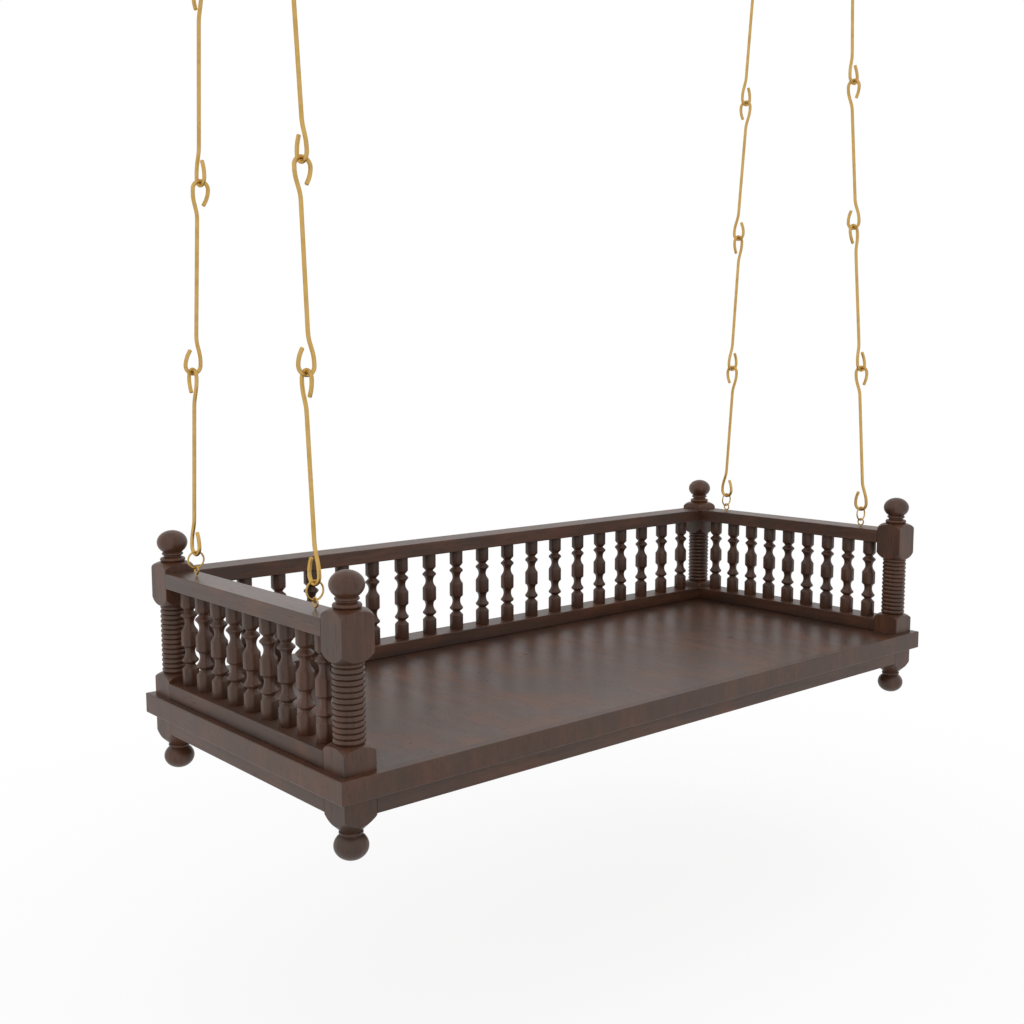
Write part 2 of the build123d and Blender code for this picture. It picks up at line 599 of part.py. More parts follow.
CEILING_PULLS = []  # where each chain's top ring bears on its ceiling hook, wire centre
for corner_name, corner_side, corner_end in CORNERS:
    chain_ups, chain_feet = pulls(corner_side, corner_end), rod_feet(corner_side, corner_end)
    top_ring_foot = chain_feet[-1] + chain_ups[-1] * LAST_RING_REACH
    CEILING_PULLS.append(top_ring_foot + chain_ups[-1] * TOP_RING_PULL)
    ring(
        f"lower_ring_{corner_name}", chain_feet[0] - chain_ups[0] * HOOK_FOOT, chain_ups[0], Vector(0, 1, 0)
    )
    ring(f"top_ring_{corner_name}", top_ring_foot, chain_ups[-1], Vector(1, 0, 0))
    for place, (rod_foot, rod_up) in enumerate(zip(chain_feet, chain_ups)):
        # Hooks fore and aft and hooks across take turns, so each pulls square on the next.
        tail_away = Vector(0, corner_end, 0) if place % 2 == 0 else Vector(-corner_side, 0, 0)
        rod(f"rod_{corner_name}_{place + 1}", rod_foot, rod_up, tail_away)

# ---------------------------------------------------------------- ceiling hooks
with BuildPart() as ceiling_hooks:
    for ceiling_pull in CEILING_PULLS:
        eye_centre = ceiling_pull + Vector(0, 0, CEILING_EYE_RADIUS)
        eye_top = eye_centre.Z + CEILING_EYE_RADIUS
        with BuildSketch(Plane(origin=eye_centre, x_dir=(1, 0, 0), z_dir=(0, 0, 1))):
            with Locations((CEILING_EYE_RADIUS, 0)):
                Circle(CEILING_WIRE_RADIUS)
        revolve(axis=Axis(eye_centre, (0, 1, 0)))
        with BuildSketch(Plane(origin=(eye_centre.X, eye_centre.Y, eye_top))):
            Circle(PLATE_STEM_RADIUS)
        extrude(amount=PLATE_STEM_HEIGHT)
        with BuildSketch(Plane(origin=(eye_centre.X, eye_centre.Y, eye_top + PLATE_STEM_HEIGHT))):
            Circle(PLATE_RADIUS)
            with PolarLocations(PLATE_HOLE_CIRCLE, PLATE_HOLES, start_angle=PLATE_HOLE_TURN):
                Circle(PLATE_HOLE_RADIUS, mode=Mode.SUBTRACT)
        extrude(amount=PLATE_THICK)
save(ceiling_hooks, "ceiling_hooks")
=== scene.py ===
"""Jhoola swing: finishes, eased spindles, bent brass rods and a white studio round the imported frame."""

from __future__ import annotations

import logging
import math
from collections.abc import Iterable, Sequence
from dataclasses import dataclass, field
from enum import Enum
from typing import Any

import bmesh
import bpy
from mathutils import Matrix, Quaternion, Vector


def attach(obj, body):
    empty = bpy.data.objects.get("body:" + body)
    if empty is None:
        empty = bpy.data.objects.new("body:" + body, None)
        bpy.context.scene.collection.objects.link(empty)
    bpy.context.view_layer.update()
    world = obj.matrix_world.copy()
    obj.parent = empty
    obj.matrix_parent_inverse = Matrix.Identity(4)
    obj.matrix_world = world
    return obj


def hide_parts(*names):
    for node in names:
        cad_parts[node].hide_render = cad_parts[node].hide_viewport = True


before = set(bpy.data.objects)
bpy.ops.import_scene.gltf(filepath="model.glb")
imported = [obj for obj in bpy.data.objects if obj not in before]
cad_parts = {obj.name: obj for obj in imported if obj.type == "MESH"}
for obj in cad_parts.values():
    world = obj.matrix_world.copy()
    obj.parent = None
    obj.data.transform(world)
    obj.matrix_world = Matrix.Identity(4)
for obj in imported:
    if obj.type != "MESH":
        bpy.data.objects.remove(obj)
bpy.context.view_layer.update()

log = logging.getLogger("jhoola")
MM = 0.001
Colour = tuple[float, float, float]
Triple = tuple[float, float, float]
Point = tuple[float, float]
WHITE: Colour = (1.0, 1.0, 1.0)


def srgb(red: int, green: int, blue: int) -> Colour:
    """Turns a screen colour into the linear one that a shader takes.

    Args:
        red: Red from 0 to 255.
        green: Green from 0 to 255.
        blue: Blue from 0 to 255.

    Returns:
        The three linear parts, from 0 to 1.
    """

    def linear(part: int) -> float:
        """One part of the colour, made linear."""
        share = part / 255
        return share / 12.92 if share <= 0.04045 else ((share + 0.055) / 1.055) ** 2.4

    return linear(red), linear(green), linear(blue)


def keyed(label: str) -> str:
    """A socket's label in small letters with underscores."""
    return label.replace(" ", "_").lower()


# ------------------------------------------------------------------------------ shader building
class Signal:
    """A value that varies over a surface: one socket of a node tree, with arithmetic."""

    def __init__(self, graph: Graph, socket: bpy.types.NodeSocket | None) -> None:
        """Wraps a socket of the graph, or nothing for a node with no output."""
        self.graph = graph
        self.socket = socket

    def _maths(self, operation: str, first: Any, second: Any) -> Signal:
        """Adds one Math node of that operation and returns its result."""
        return self.graph.node("ShaderNodeMath", {"operation": operation}, first, second)

    def __add__(self, other: Any) -> Signal:
        """Self plus other."""
        return self._maths("ADD", self, other)

    def __radd__(self, other: Any) -> Signal:
        """Other plus self."""
        return self._maths("ADD", other, self)

    def __sub__(self, other: Any) -> Signal:
        """Self minus other."""
        return self._maths("SUBTRACT", self, other)

    def __rsub__(self, other: Any) -> Signal:
        """Other minus self."""
        return self._maths("SUBTRACT", other, self)

    def __mul__(self, other: Any) -> Signal:
        """Self times other."""
        return self._maths("MULTIPLY", self, other)

    def __rmul__(self, other: Any) -> Signal:
        """Other times self."""
        return self._maths("MULTIPLY", other, self)

    def between(self, low: float, high: float) -> Signal:
        """A soft step over this value.

        Args:
            low: Where the step starts from 0.
            high: Where it reaches 1. Below low, the step falls instead.

        Returns:
            The step, from 0 to 1.
        """
        ends = (low, high, 0.0, 1.0) if low < high else (high, low, 1.0, 0.0)
        return self.graph.node("ShaderNodeMapRange", {"interpolation_type": "SMOOTHSTEP"}, self, *ends)


class Graph:
    """The node tree of one material or world."""

    def __init__(self, owner: bpy.types.Material | bpy.types.World) -> None:
        """Empties the owner's node tree, ready for new nodes."""
        owner.use_nodes = True
        self.tree = owner.node_tree
        self.tree.nodes.clear()

    def node(
        self,
        kind: str,
        settings: dict[str, Any] | None = None,
        *inputs: Any,
        output: str = "",
        **named: Any,
    ) -> Signal:
        """Adds one node of any kind.

        Args:
            kind: The node's type.
            settings: Its settings, set before its sockets. stops holds a ramp's positions and colours.
            inputs: Values or signals for its first sockets, in order.
            output: The name of the output wanted, or nothing for the first one.
            named: Values or signals for sockets by name, in small letters with underscores.

        Returns:
            The wanted output as a signal.
        """
        made = self.tree.nodes.new(kind)
        for key, value in (settings or {}).items():
            if key == "stops":
                self._set_stops(made.color_ramp, value)
            else:
                setattr(made, key, value)
        sockets = [s for s in made.inputs if s.enabled]
        for socket, value in zip(sockets, inputs):
            self._feed(socket, value)
        for key, value in named.items():
            match = next(s for s in sockets if keyed(s.name) == key)
            self._feed(match, value)
        wanted = (s for s in made.outputs if s.enabled and output in ("", s.name))
        return Signal(self, next(wanted, None))

    def _feed(self, socket: bpy.types.NodeSocket, value: Any) -> None:
        """Links a signal to a socket, or sets the socket to a plain value."""
        if isinstance(value, Signal):
            self.tree.links.new(value.socket, socket)
        elif socket.type == "RGBA" and len(value) == 3:
            socket.default_value = (*value, 1.0)
        else:
            socket.default_value = value

    @staticmethod
    def _set_stops(ramp: bpy.types.ColorRamp, stops: Sequence[tuple[float, Colour]]) -> None:
        """Gives a ramp its stops."""
        while len(ramp.elements) < len(stops):
            ramp.elements.new(0.5)
        for element, (position, colour) in zip(ramp.elements, stops):
            element.position = position
            element.color = (*colour, 1.0)

    def noise(self, where: Signal, scale: float, detail: float = 2.0, rough: float = 0.5) -> Signal:
        """Plain noise over a place.

        Args:
            where: The place that it is read at.
            scale: Blotches to the metre.
            detail: How many finer layers lie on it.
            rough: How strong each finer layer is.

        Returns:
            The noise, about 0.5.
        """
        return self.node("ShaderNodeTexNoise", {}, where, scale=scale, detail=detail, roughness=rough)

    def stretch(self, where: Signal, amounts: Triple) -> Signal:
        """A place with its three axes scaled."""
        return self.node("ShaderNodeVectorMath", {"operation": "MULTIPLY"}, where, amounts)

    def tint(self, amount: Any, plain: Any, other: Any, blend: str = "MIX") -> Signal:
        """Mixes two colours by an amount, which may be a signal."""
        settings = {"data_type": "RGBA", "blend_type": blend}
        return self.node("ShaderNodeMix", settings, amount, plain, other)


# ------------------------------------------------------------------------------ finishes
class Grain(Enum):
    """Which way a board's grain runs, as the turn that brings it onto the pattern's long axis."""

    ALONG = (0.0, 0.0, 0.0)
    ACROSS = (0.0, 0.0, -math.pi / 2)
    UPRIGHT = (0.0, math.pi / 2, 0.0)


@dataclass(frozen=True)
class ShadeBand:
    """Painted shade: a band where the stain is darkened along an axis, from where it starts to where it is
    full, in metres.
    """

    axis: str
    start: float
    full: float


# painted shade: the stain darkened at the foot of the bottom rails, where they meet the rim, and on the
# deck beside the back and side rails
RAIL_FOOT_SHADE = ShadeBand("Z", 0.139, 0.123)
DECK_EDGE_SHADE = (ShadeBand("Y", 0.14, 0.23), ShadeBand("X", 0.52, 0.63), ShadeBand("X", -0.56, -0.63))


@dataclass(frozen=True)
class WalnutStain:
    """Satin dark walnut stain over a fine, quiet grain."""

    name: str
    grain: Grain
    shift: Triple = (0.0, 0.0, 0.0)
    deep: Colour = srgb(55, 32, 20)
    middle: Colour = srgb(69, 42, 27)
    pale: Colour = srgb(82, 52, 36)
    warm: Colour = srgb(104, 58, 31)
    cool: Colour = srgb(57, 41, 33)
    # colour of the pores, knots and dashes, also used for the painted shade
    pore_and_shade: Colour = srgb(34, 22, 17)
    warmth: float = 0.4  # strength of the reddish patches
    coolness: float = 0.4  # strength of the greyish patches
    marks: float = 0.0  # strength of the knots and dashes
    satin: float = 0.41  # roughness
    drawn: float = 0.09  # the pattern's scale along the grain, as a share of that across it
    stray: float = 0.03  # span of the grain's wander to its sides, in metres
    blotch: float = 16.0  # patches to the metre
    cloudy: float = 5.0  # clouds to the metre
    quiet: float = 0.8  # how little of the grain's depth shows
    painted_shade: float = 0.0  # how dark the painted shade is
    # where the painted shade lies
    shade_bands: tuple[ShadeBand, ...] = ()

    def material(self) -> bpy.types.Material:
        """Builds the stain's material.

        Returns:
            The finished material.
        """
        made = bpy.data.materials.new(self.name)
        g = Graph(made)
        here = g.node("ShaderNodeTexCoord", {}, output="Object")
        lie = g.node("ShaderNodeMapping", {}, here, location=self.shift, rotation=self.grain.value)
        bent = self._wandered(g, lie)
        streak = g.noise(g.stretch(bent, (self.drawn, 1.0, 1.0)), scale=42.0, detail=3.0, rough=0.55)
        fine = g.noise(g.stretch(bent, (self.drawn * 0.7, 1.0, 1.0)), scale=190.0, detail=3.0, rough=0.6)
        fibre = g.noise(g.stretch(bent, (self.drawn * 0.5, 1.0, 1.0)), scale=800.0, detail=2.0, rough=0.5)
        holes = g.noise(g.stretch(bent, (self.drawn, 1.0, 1.0)), scale=420.0, detail=1.0, rough=0.4)
        pores = holes.between(0.66, 0.76)
        patch = g.noise(g.stretch(lie, (0.6, 1.0, 1.0)), scale=self.blotch, detail=4.0, rough=0.6)
        cloud = g.noise(g.stretch(lie, (0.5, 1.0, 1.0)), scale=self.cloudy, detail=2.0, rough=0.5)
        depth = streak * 0.45 + fine * 0.35 + fibre * 0.2
        spread = 0.14 * self.quiet
        stops = [(0.5 - spread, self.deep), (0.5, self.middle), (0.5 + spread, self.pale)]
        colour = g.node("ShaderNodeValToRGB", {"stops": stops}, depth)
        cooled = cloud.between(0.4, 0.7) * 0.3 + patch.between(0.52, 0.36) * self.coolness
        colour = g.tint(cooled, colour, self.cool)
        warmed = patch.between(0.48, 0.66) * (fine.between(0.3, 0.6) * 0.5 + 0.3) * self.warmth
        colour = g.tint(warmed, colour, self.warm)
        colour = g.tint(pores * 0.45, colour, self.pore_and_shade)
        rough = self.satin - 0.05 + fine * 0.06 + cloud * 0.04 + pores * 0.15
        if self.marks:
            marks = (self._knots(g, lie) + self._dashes(g, lie)) * self.marks
            colour = g.tint(marks, colour, self.pore_and_shade)
            rough = rough + marks * 0.4 + patch.between(0.36, 0.66) * 0.05
        # painted shade: each band darkens the stain towards the pore colour near the rails, where shade
        # falls
        for shade_band in self.shade_bands:
            along = g.node("ShaderNodeSeparateXYZ", {}, here, output=shade_band.axis)
            colour = g.tint(along.between(shade_band.start, shade_band.full) * self.painted_shade, colour, self.pore_and_shade)
        height = fine * 0.35 + fibre * 0.25 - pores * 0.6
        relief = g.node("ShaderNodeBump", {}, strength=0.12, distance=0.0003, height=height)
        surface = g.node(
            "ShaderNodeBsdfPrincipled", {}, base_color=colour, roughness=rough, normal=relief,
            specular_ior_level=0.45,
        )
        g.node("ShaderNodeOutputMaterial", {}, surface)
        return made

    def _wandered(self, g: Graph, lie: Signal) -> Signal:
        """Lets the grain stray a little to its sides.

        Args:
            g: The material's graph.
            lie: The place, turned so that the grain runs along X.

        Returns:
            The strayed place.
        """
        slow = g.stretch(lie, (0.35, 1.0, 1.0))
        drift = g.node("ShaderNodeTexNoise", {}, slow, output="Color", scale=7.0, detail=2.0)
        centred = g.node("ShaderNodeVectorMath", {"operation": "SUBTRACT"}, drift, (0.5, 0.5, 0.5))
        strayed = g.stretch(centred, (0.0, self.stray, self.stray))
        return g.node("ShaderNodeVectorMath", {"operation": "ADD"}, lie, strayed)

    def _knots(self, g: Graph, where: Signal) -> Signal:
        """A few small dark knots, each in a cell of its own.

        Args:
            g: The material's graph.
            where: The place that they are read at.

        Returns:
            How much of a knot each point is in.
        """
        return self._scattered(g, g.stretch(where, (0.8, 1.0, 0.0)), scale=8.0, rarity=0.6, size=0.06)

    def _dashes(self, g: Graph, where: Signal) -> Signal:
        """A few short dark dashes along the grain.

        Args:
            g: The material's graph.
            where: The place that they are read at.

        Returns:
            How much of a dash each point is in.
        """
        return self._scattered(g, g.stretch(where, (0.12, 1.0, 0.0)), scale=26.0, rarity=0.8, size=0.055)

    @staticmethod
    def _scattered(g: Graph, where: Signal, scale: float, rarity: float, size: float) -> Signal:
        """Small spots in some cells of a loose lattice.

        Args:
            g: The material's graph.
            where: The place that they are read at.
            scale: Cells to the metre.
            rarity: The share of cells left empty.
            size: The spot's reach, as a share of a cell.

        Returns:
            How much of a spot each point is in.
        """
        cell = {"feature": "F1"}
        distance = g.node("ShaderNodeTexVoronoi", cell, where, scale=scale, output="Distance")
        pick = g.node("ShaderNodeTexVoronoi", cell, where, scale=scale, output="Color")
        chosen = g.node("ShaderNodeSeparateColor", {}, pick).between(rarity, rarity + 0.02)
        return distance.between(size, size * 0.3) * chosen


@dataclass(frozen=True)
class Brass:
    """Satin brass, drawn and lightly handled."""

    name: str
    bright: Colour = srgb(209, 173, 104)
    dull: Colour = srgb(188, 152, 86)
    edge: Colour = srgb(198, 162, 106)
    satin: float = 0.42
    speckle: float = 150.0

    def material(self) -> bpy.types.Material:
        """Builds the brass material.

        Returns:
            The finished material.
        """
        made = bpy.data.materials.new(self.name)
        g = Graph(made)
        here = g.node("ShaderNodeTexCoord", {}, output="Object")
        cloud = g.noise(here, scale=55.0, detail=3.0, rough=0.6)
        grit = g.noise(here, scale=self.speckle * 6, detail=2.0, rough=0.5)
        mottle = g.noise(here, scale=self.speckle, detail=2.0, rough=0.6)
        dulled = cloud.between(0.35, 0.75) * 0.6 + mottle.between(0.5, 0.75) * 0.3
        colour = g.tint(dulled, self.bright, self.dull)
        rough = self.satin - 0.05 + cloud * 0.06 + mottle * 0.06
        height = mottle * 0.6 + grit * 0.4
        relief = g.node("ShaderNodeBump", {}, strength=0.08, distance=0.0002, height=height)
        surface = g.node(
            "ShaderNodeBsdfPrincipled", {}, base_color=colour, roughness=rough, normal=relief, metallic=1.0,
            specular_tint=self.edge,
        )
        g.node("ShaderNodeOutputMaterial", {}, surface)
        return made


@dataclass(frozen=True)
class Zinc:
    """Zinc plated steel of the hidden fasteners."""

    name: str = "zinc_plate"
    bright: Colour = srgb(190, 192, 196)
    dull: Colour = srgb(150, 152, 150)

    def material(self) -> bpy.types.Material:
        """Builds the zinc material.

        Returns:
            The finished material.
        """
        made = bpy.data.materials.new(self.name)
        g = Graph(made)
        here = g.node("ShaderNodeTexCoord", {}, output="Object")
        spangle = g.noise(here, scale=420.0, detail=2.0, rough=0.5)
        colour = g.tint(spangle, self.bright, self.dull)
        rough = 0.3 + spangle * 0.15
        surface = g.node(
            "ShaderNodeBsdfPrincipled", {}, base_color=colour, roughness=rough, metallic=1.0
        )
        g.node("ShaderNodeOutputMaterial", {}, surface)
        return made


# ------------------------------------------------------------------------------ meshes
def placed(name: str, data: bpy.types.ID) -> bpy.types.Object:
    """A new object for a mesh, lamp or camera, linked to the scene."""
    made = bpy.data.objects.new(name, data)
    bpy.context.scene.collection.objects.link(made)
    return made


def settled(carrier: bpy.types.Object) -> bpy.types.Mesh:
    """Turns what an object's modifiers make into a plain mesh, and removes the object.

    Args:
        carrier: The object with its modifiers.

    Returns:
        The plain mesh.
    """
    depsgraph = bpy.context.evaluated_depsgraph_get()
    made = bpy.data.meshes.new_from_object(carrier.evaluated_get(depsgraph), depsgraph=depsgraph)
    carrier.modifiers.clear()
    bpy.data.objects.remove(carrier)
    return made


def eased(mesh: bpy.types.Mesh, width: float, steps: int, angle: float) -> bpy.types.Mesh:
    """Eases a mesh's sharp edges with a Bevel modifier.

    Args:
        mesh: The sharp mesh.
        width: How much of each face the easing takes, in metres.
        steps: Faces across an eased edge.
        angle: Edges sharper than this many degrees are eased.

    Returns:
        A new mesh.
    """
    carrier = placed("easing", mesh)
    bevel = carrier.modifiers.new("easing", "BEVEL")
    bevel.width = width
    bevel.segments = steps
    bevel.limit_method = "ANGLE"
    bevel.angle_limit = math.radians(angle)
    return settled(carrier)


def smooth(mesh: bpy.types.Mesh, angle: float) -> None:
    """Shades a mesh smooth, but for edges sharper than an angle in degrees."""
    mesh.shade_smooth()
    mesh.set_sharp_from_angle(angle=math.radians(angle))


class GeometryTree:
    """A Geometry Nodes tree with named inputs, run on a mesh and turned into a plain piece."""

    def __init__(self, name: str) -> None:
        """Starts a tree with one geometry input and one geometry output."""
        self.tree = bpy.data.node_groups.new(name, "GeometryNodeTree")
        self.tree.is_modifier = True
        self.sockets: dict[str, bpy.types.NodeTreeInterfaceSocket] = {}
        self.tree.interface.new_socket("Geometry", in_out="INPUT", socket_type="NodeSocketGeometry")
        self.tree.interface.new_socket("Geometry", in_out="OUTPUT", socket_type="NodeSocketGeometry")
        self.entry = self.tree.nodes.new("NodeGroupInput")
        self.exit = self.tree.nodes.new("NodeGroupOutput")

    def take(self, name: str, kind: str) -> None:
        """Adds a named input of a kind, such as Float, Int, Vector or Material."""
        made = self.tree.interface.new_socket(name, in_out="INPUT", socket_type=f"NodeSocket{kind}")
        self.sockets[name] = made

    def given(self, name: str) -> bpy.types.NodeSocket:
        """The socket that brings a named input into the tree."""
        return next(s for s in self.entry.outputs if s.name == name)

    def add(self, kind: str, settings: dict[str, Any] | None = None, **inputs: Any) -> bpy.types.Node:
        """Adds one node.

        Args:
            kind: The node's type.
            settings: Its settings, set first.
            inputs: Values, sockets or nodes for its sockets, by name in small letters with underscores.

        Returns:
            The node.
        """
        made = self.tree.nodes.new(kind)
        for key, value in (settings or {}).items():
            setattr(made, key, value)
        for key, value in inputs.items():
            socket = next(s for s in made.inputs if s.enabled and keyed(s.name) == key)
            if isinstance(value, bpy.types.Node):
                value = next(s for s in value.outputs if s.enabled)
            if isinstance(value, bpy.types.NodeSocket):
                self.tree.links.new(value, socket)
            else:
                socket.default_value = value
        return made

    def close(self, shape: bpy.types.Node) -> None:
        """Ends the tree: instances made real, then the finish."""
        real = self.add("GeometryNodeRealizeInstances", geometry=shape)
        dressed = self.add("GeometryNodeSetMaterial", geometry=real, material=self.given("Finish"))
        self.tree.links.new(dressed.outputs[0], self.exit.inputs[0])

    def run(self, name: str, base: bpy.types.Mesh, **values: Any) -> bpy.types.Object:
        """Runs the tree on a mesh and keeps what it makes.

        Args:
            name: The new piece's name.
            base: The mesh that the tree starts from.
            values: The named inputs, in small letters with underscores.

        Returns:
            A plain mesh object at the origin.
        """
        carrier = placed(name + "_carrier", base)
        modifier = carrier.modifiers.new(self.tree.name, "NODES")
        modifier.node_group = self.tree
        for label, socket in self.sockets.items():
            modifier[socket.identifier] = values[keyed(label)]
        made = settled(carrier)
        made.name = name
        return placed(name, made)


# ------------------------------------------------------------------------------ spindles
@dataclass
class SpindleRows:
    """The eight-sided spindles of the three railings, with eased arrises. Lengths are in millimetres."""

    finish: bpy.types.Material
    post_x: float = 648.4
    post_y: float = 254.7
    foot: float = 149.0
    sides: int = 8
    widest: float = 12.7
    head: float = 12.3
    neck: float = 7.2
    length: float = 154.5
    cove_points: int = 11
    back_count: int = 19
    back_pitch: float = 65.1
    side_count: int = 9
    side_pitch: float = 49.95
    side_shift: float = 3.0
    arris: float = 0.5  # radius of an arris, as a share of the half width
    arris_turns: tuple[float, ...] = (-1, -1 / 3, 1 / 3, 1)  # its points, from one face to the next
    ridge: float = 0.35  # easing of the edges round the beads and coves
    ridge_steps: int = 2
    ridge_angle: float = 25.0
    crease: float = 26.0  # edges sharper than this many degrees stay crisp
    tree: GeometryTree = field(init=False)

    def __post_init__(self) -> None:
        """Builds the tree that sets spindles along a rail."""
        self.tree = GeometryTree("spindle_row")
        inputs = {"Count": "Int", "Start": "Vector", "Step": "Vector", "Finish": "Material"}
        for name, kind in inputs.items():
            self.tree.take(name, kind)
        line = self.tree.add(
            "GeometryNodeMeshLine", count=self.tree.given("Count"),
            start_location=self.tree.given("Start"), offset=self.tree.given("Step"),
        )
        spindle = self.tree.given("Geometry")
        self.tree.close(self.tree.add("GeometryNodeInstanceOnPoints", points=line, instance=spindle))

    def outline(self) -> list[Point]:
        """The spindle's half outline.

        Returns:
            Half width over the flats and height above the bottom rail, in millimetres.
        """
        full, head, neck = self.widest, self.head, self.neck
        points = [(full, 0.0), (full, 27.2), (neck, 33.2), (neck, 34.5), (full, 39.2)]
        points += arc((full, 41.9), (7.5, 54.4), (9.0, 61.6), self.cove_points)
        points += [(full, 65.2), (full, 88.2)]
        points += arc((9.4, 93.4), (7.1, 101.3), (full, 112.8), self.cove_points)
        points += [(full, 115.4), (neck, 120.6), (neck, 121.8), (head, 127.6), (head, self.length)]
        return points

    def spindle(self) -> bpy.types.Mesh:
        """One spindle about the Z axis, with its foot at height 0.

        Returns:
            Its closed mesh.
        """
        shape = bmesh.new()
        section = self.section()
        rings = [
            [shape.verts.new((x * half * MM, y * half * MM, height * MM)) for x, y in section]
            for half, height in self.outline()
        ]
        for low, high in zip(rings, rings[1:]):
            for k in range(len(section)):
                after = (k + 1) % len(section)
                shape.faces.new((low[k], low[after], high[after], high[k]))
        shape.faces.new(list(reversed(rings[0])))
        shape.faces.new(rings[-1])
        mesh = bpy.data.meshes.new("spindle")
        shape.to_mesh(mesh)
        shape.free()
        return eased(mesh, self.ridge * MM, self.ridge_steps, self.ridge_angle)

    def section(self) -> list[Point]:
        """The eight-sided cross-section with rounded corners.

        Returns:
            Points round it, for a half width of 1 over the flats.
        """
        half_turn = math.pi / self.sides
        reach = (1 - self.arris) / math.cos(half_turn)
        points = []
        for k in range(self.sides):
            turn = (2 * k + 1) * half_turn
            for share in self.arris_turns:
                lean = turn + share * half_turn
                x = reach * math.cos(turn) + self.arris * math.cos(lean)
                y = reach * math.sin(turn) + self.arris * math.sin(lean)
                points.append((x, y))
        return points

    def build(self) -> list[bpy.types.Object]:
        """Sets the three rows, each in place of its node.

        Returns:
            The rows.
        """
        runs = {
            "spindles_back": (self.back_count, (0.0, self.post_y), (self.back_pitch, 0.0)),
            "spindles_left": (self.side_count, (-self.post_x, self.side_shift), (0.0, self.side_pitch)),
            "spindles_right": (self.side_count, (self.post_x, self.side_shift), (0.0, self.side_pitch)),
        }
        made = []
        for node, (count, middle, step) in runs.items():
            start = [(m - s * (count - 1) / 2) * MM for m, s in zip(middle, step)]
            stride = [s * MM for s in step]
            row = self.tree.run(
                "turned_" + node, self.spindle(), count=count, start=(*start, self.foot * MM),
                step=(*stride, 0.0), finish=self.finish,
            )
            smooth(row.data, self.crease)
            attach(row, "seat")
            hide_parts(node)
            made.append(row)
        return made


def arc(start: Point, middle: Point, end: Point, count: int) -> list[Point]:
    """Points along the circle through three points, both ends among them.

    Args:
        start: Where it starts.
        middle: A point that it passes.
        end: Where it ends.
        count: How many points are made.

    Returns:
        The points.
    """
    (ax, ay), (bx, by), (cx, cy) = start, middle, end
    turn = 2 * (ax * (by - cy) + bx * (cy - ay) + cx * (ay - by))
    a, b, c = ax * ax + ay * ay, bx * bx + by * by, cx * cx + cy * cy
    ox = (a * (by - cy) + b * (cy - ay) + c * (ay - by)) / turn
    oy = (a * (cx - bx) + b * (ax - cx) + c * (bx - ax)) / turn
    radius = math.hypot(ax - ox, ay - oy)
    first, last = math.atan2(ay - oy, ax - ox), math.atan2(cy - oy, cx - ox)
    sweep = (last - first + math.pi) % (2 * math.pi) - math.pi
    angles = [first + sweep * k / (count - 1) for k in range(count)]
    return [(ox + radius * math.cos(t), oy + radius * math.sin(t)) for t in angles]


